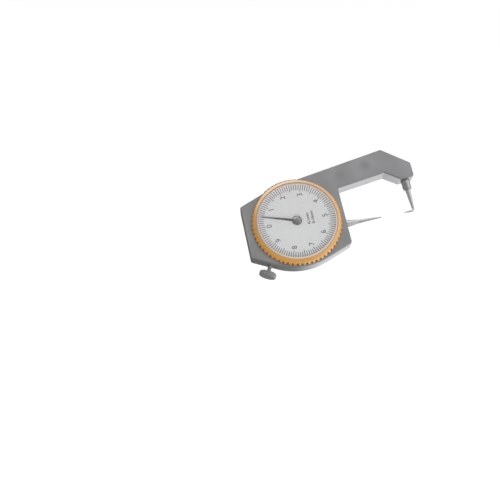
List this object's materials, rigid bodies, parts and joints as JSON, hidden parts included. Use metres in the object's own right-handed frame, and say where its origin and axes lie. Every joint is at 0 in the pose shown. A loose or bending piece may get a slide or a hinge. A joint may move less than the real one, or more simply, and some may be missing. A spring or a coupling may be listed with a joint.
{
  "type": "dial thickness gauge",
  "caption": "Pocket dial thickness gauge: C-shaped frame with a round dial, a spring-closed pointed spindle, a hooked fixed tip and a lock screw.",
  "frame": {"origin": "on the needle's axis, in the plane of the flat back", "axes": "+X along the spindle towards the measuring gap, +Y towards the arm, +Z out of the dial"},
  "size_m": [0.0788, 0.0485, 0.0103],
  "materials": {
    "frame_grey": "satin grey coat",
    "cover_grey": "fine brushed",
    "screw_steel": "bright turned",
    "ground_steel": "ground",
    "nickel": "bright nickel plate",
    "brass": "turned",
    "spring_steel": "blued",
    "bezel_orange": "orange anodised, glossy",
    "dial_white": "matt white",
    "needle_black": "black",
    "crystal": "clear crystal"
  },
  "bodies": {
    "gauge_body": {"frame": "frame_grey", "rear_cover": "cover_grey", "cover_screws": "screw_steel", "front_bush": "brass", "end_plug": "screw_steel", "return_spring": "spring_steel", "fixed_tip": "ground_steel", "tip_collar": "nickel", "bezel_wire": "spring_steel", "centre_bush": "brass", "bridge": "brass", "bridge_bushes": "brass", "bridge_pillars": "brass", "bridge_screws": "screw_steel", "hairspring": "spring_steel", "hairspring_stud": "brass"},
    "spindle": {"spindle_rod": "ground_steel", "rack": "ground_steel", "rack_pins": "screw_steel", "moving_tip": "ground_steel", "slide_stud": "screw_steel", "finger_slide": "cover_grey"},
    "pointer": {"pinion_arbor": "ground_steel", "needle": "needle_black", "needle_cap": "nickel"},
    "takeup": {"takeup_gear": "brass", "takeup_arbor": "ground_steel", "spring_collet": "brass"},
    "dial_ring": {"bezel": "bezel_orange", "lens": "crystal", "dial_plate": "dial_white"},
    "lock_pad_body": {"lock_pad": "brass"},
    "lock_screw_body": {"lock_screw": "nickel", "lock_knob": "nickel"}
  },
  "joints": [
    {"name": "spindle_slide", "type": "slide", "parent": "gauge_body", "child": "spindle", "axis": [1, 0, 0], "range_m": [0, 0.01045], "stiffness_N_per_m": 57, "springref_m": 0.021, "deforming": ["return_spring"]},
    {"name": "pointer_turn", "type": "hinge", "parent": "gauge_body", "child": "pointer", "pos_m": [0, 0, 0], "axis": [0, 0, 1], "continuous": true},
    {"name": "takeup_turn", "type": "hinge", "parent": "gauge_body", "child": "takeup", "pos_m": [0, 0.00461, 0], "axis": [0, 0, 1], "continuous": true, "deforming": ["hairspring"]},
    {"name": "bezel_turn", "type": "hinge", "parent": "gauge_body", "child": "dial_ring", "pos_m": [0, 0, 0], "axis": [0, 0, 1], "continuous": true},
    {"name": "lock_advance", "type": "slide", "parent": "gauge_body", "child": "lock_pad_body", "axis": [-0.4565, -0.8897, 0], "range_m": [0, 0.0006]},
    {"name": "lock_turn", "type": "hinge", "parent": "lock_pad_body", "child": "lock_screw_body", "pos_m": [-0.01519, -0.01603, 0.0041], "axis": [-0.4565, -0.8897, 0], "continuous": true}
  ],
  "couplings": [
    {"joint": "pointer_turn", "follows": "spindle_slide", "rad_per_m": 628.32},
    {"joint": "takeup_turn", "follows": "spindle_slide", "rad_per_m": -335.1},
    {"joint": "lock_turn", "follows": "lock_advance", "rad_per_m": 15708}
  ]
}
